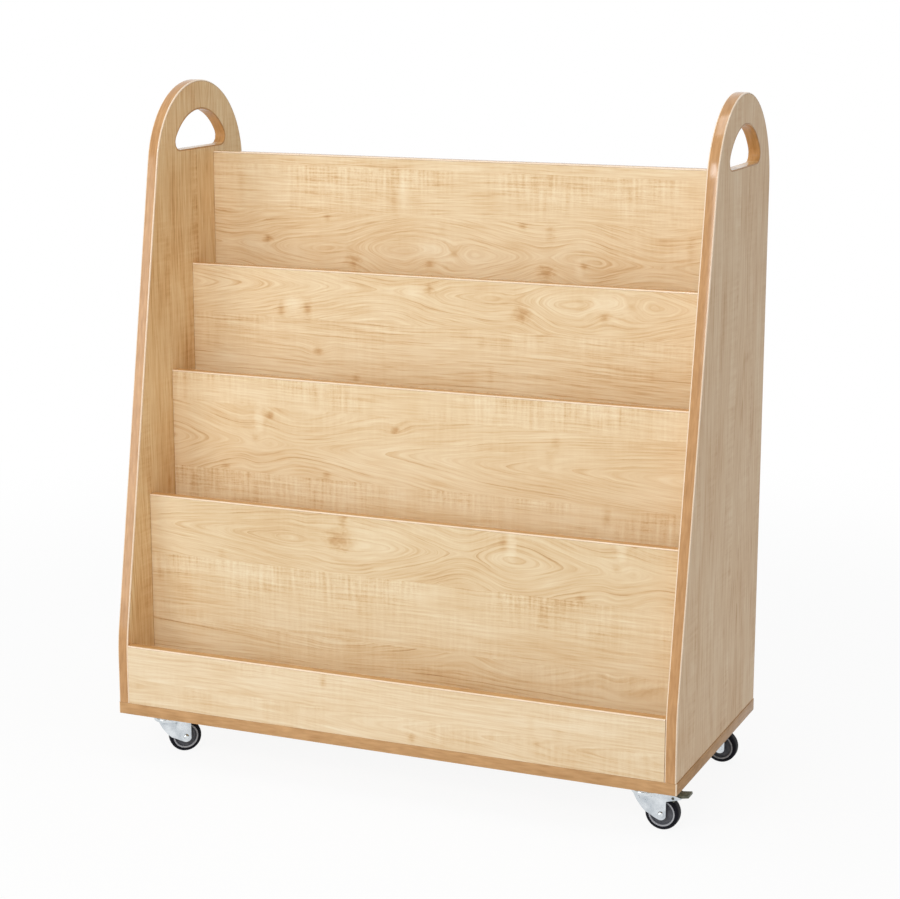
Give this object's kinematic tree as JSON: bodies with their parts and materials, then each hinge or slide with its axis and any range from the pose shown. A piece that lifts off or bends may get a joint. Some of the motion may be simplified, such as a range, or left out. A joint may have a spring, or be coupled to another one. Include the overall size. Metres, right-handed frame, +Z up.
{
  "type": "book display trolley",
  "caption": "Tiered book display on swivel castors: stepped upright panels form face-out book pockets between shaped end panels with arched tops and hand holes.",
  "frame": {"origin": "on the floor, under the middle of the base board", "axes": "+Z up, -Y towards the front (the low lip), +X to the right seen from the front"},
  "size_m": [0.9352, 0.412, 1.0558],
  "materials": {
    "maple_laminate": "satin maple-effect laminate",
    "edge_band": "satin wood-tone edge band",
    "zinc_plate": "bright zinc plate",
    "screw_steel": "zinc plate",
    "hub_plastic": "moulded grey",
    "tyre_rubber": "smooth black rubber",
    "lever_paint": "dark painted pressing"
  },
  "bodies": {
    "carcass": {"base_board": "maple_laminate", "left_end_panel": "maple_laminate", "right_end_panel": "maple_laminate", "front_lip": "maple_laminate", "display_panel_1": "maple_laminate", "display_panel_2": "maple_laminate", "display_panel_3": "maple_laminate", "display_panel_4": "maple_laminate", "pocket_floor_1": "maple_laminate", "pocket_floor_2": "maple_laminate", "pocket_floor_3": "maple_laminate", "base_edge_band": "edge_band", "left_end_edge_band": "edge_band", "right_end_edge_band": "edge_band", "left_handle_edge_band": "edge_band", "right_handle_edge_band": "edge_band", "front_lip_edge_band": "edge_band", "display_panel_1_edge_band": "edge_band", "display_panel_2_edge_band": "edge_band", "display_panel_3_edge_band": "edge_band", "display_panel_4_edge_band": "edge_band", "front_right_castor_plate": "zinc_plate", "front_right_castor_screw_1": "screw_steel", "front_right_castor_screw_2": "screw_steel", "front_right_castor_screw_3": "screw_steel", "front_right_castor_screw_4": "screw_steel", "front_left_castor_plate": "zinc_plate", "front_left_castor_screw_1": "screw_steel", "front_left_castor_screw_2": "screw_steel", "front_left_castor_screw_3": "screw_steel", "front_left_castor_screw_4": "screw_steel", "rear_right_castor_plate": "zinc_plate", "rear_right_castor_screw_1": "screw_steel", "rear_right_castor_screw_2": "screw_steel", "rear_right_castor_screw_3": "screw_steel", "rear_right_castor_screw_4": "screw_steel", "rear_left_castor_plate": "zinc_plate", "rear_left_castor_screw_1": "screw_steel", "rear_left_castor_screw_2": "screw_steel", "rear_left_castor_screw_3": "screw_steel", "rear_left_castor_screw_4": "screw_steel"},
    "front_right_swivel": {"front_right_castor_fork": "zinc_plate", "front_right_castor_axle": "zinc_plate"},
    "front_right_wheel": {"front_right_castor_hub": "hub_plastic", "front_right_castor_tyre": "tyre_rubber"},
    "front_right_brake": {"front_right_brake_lever": "lever_paint"},
    "front_left_swivel": {"front_left_castor_fork": "zinc_plate", "front_left_castor_axle": "zinc_plate"},
    "front_left_wheel": {"front_left_castor_hub": "hub_plastic", "front_left_castor_tyre": "tyre_rubber"},
    "rear_right_swivel": {"rear_right_castor_fork": "zinc_plate", "rear_right_castor_axle": "zinc_plate"},
    "rear_right_wheel": {"rear_right_castor_hub": "hub_plastic", "rear_right_castor_tyre": "tyre_rubber"},
    "rear_left_swivel": {"rear_left_castor_fork": "zinc_plate", "rear_left_castor_axle": "zinc_plate"},
    "rear_left_wheel": {"rear_left_castor_hub": "hub_plastic", "rear_left_castor_tyre": "tyre_rubber"},
    "rear_left_brake": {"rear_left_brake_lever": "lever_paint"}
  },
  "joints": [
    {"name": "front_right_swivel", "type": "hinge", "parent": "carcass", "child": "front_right_swivel", "pos_m": [0.402, -0.152, 0.06], "axis": [0, 0, 1], "continuous": true},
    {"name": "front_right_wheel_spin", "type": "hinge", "parent": "front_right_swivel", "child": "front_right_wheel", "pos_m": [0.426, -0.152, 0.0258], "axis": [0, 1, 0], "continuous": true},
    {"name": "front_right_brake_press", "type": "hinge", "parent": "front_right_swivel", "child": "front_right_brake", "pos_m": [0.44446, -0.152, 0.05327], "axis": [0, 1, 0], "range_deg": [0, 20]},
    {"name": "front_left_swivel", "type": "hinge", "parent": "carcass", "child": "front_left_swivel", "pos_m": [-0.402, -0.152, 0.06], "axis": [0, 0, 1], "continuous": true},
    {"name": "front_left_wheel_spin", "type": "hinge", "parent": "front_left_swivel", "child": "front_left_wheel", "pos_m": [-0.38361, -0.13657, 0.0258], "axis": [-0.6428, 0.766, 0], "continuous": true},
    {"name": "rear_right_swivel", "type": "hinge", "parent": "carcass", "child": "rear_right_swivel", "pos_m": [0.402, 0.152, 0.06], "axis": [0, 0, 1], "continuous": true},
    {"name": "rear_right_wheel_spin", "type": "hinge", "parent": "rear_right_swivel", "child": "rear_right_wheel", "pos_m": [0.426, 0.152, 0.0258], "axis": [0, 1, 0], "continuous": true},
    {"name": "rear_left_swivel", "type": "hinge", "parent": "carcass", "child": "rear_left_swivel", "pos_m": [-0.402, 0.152, 0.06], "axis": [0, 0, 1], "continuous": true},
    {"name": "rear_left_wheel_spin", "type": "hinge", "parent": "rear_left_swivel", "child": "rear_left_wheel", "pos_m": [-0.42577, 0.15534, 0.0258], "axis": [-0.1392, -0.9903, 0], "continuous": true},
    {"name": "rear_left_brake_press", "type": "hinge", "parent": "rear_left_swivel", "child": "rear_left_brake", "pos_m": [-0.44405, 0.15791, 0.05327], "axis": [-0.1392, -0.9903, 0], "range_deg": [0, 20]}
  ]
}
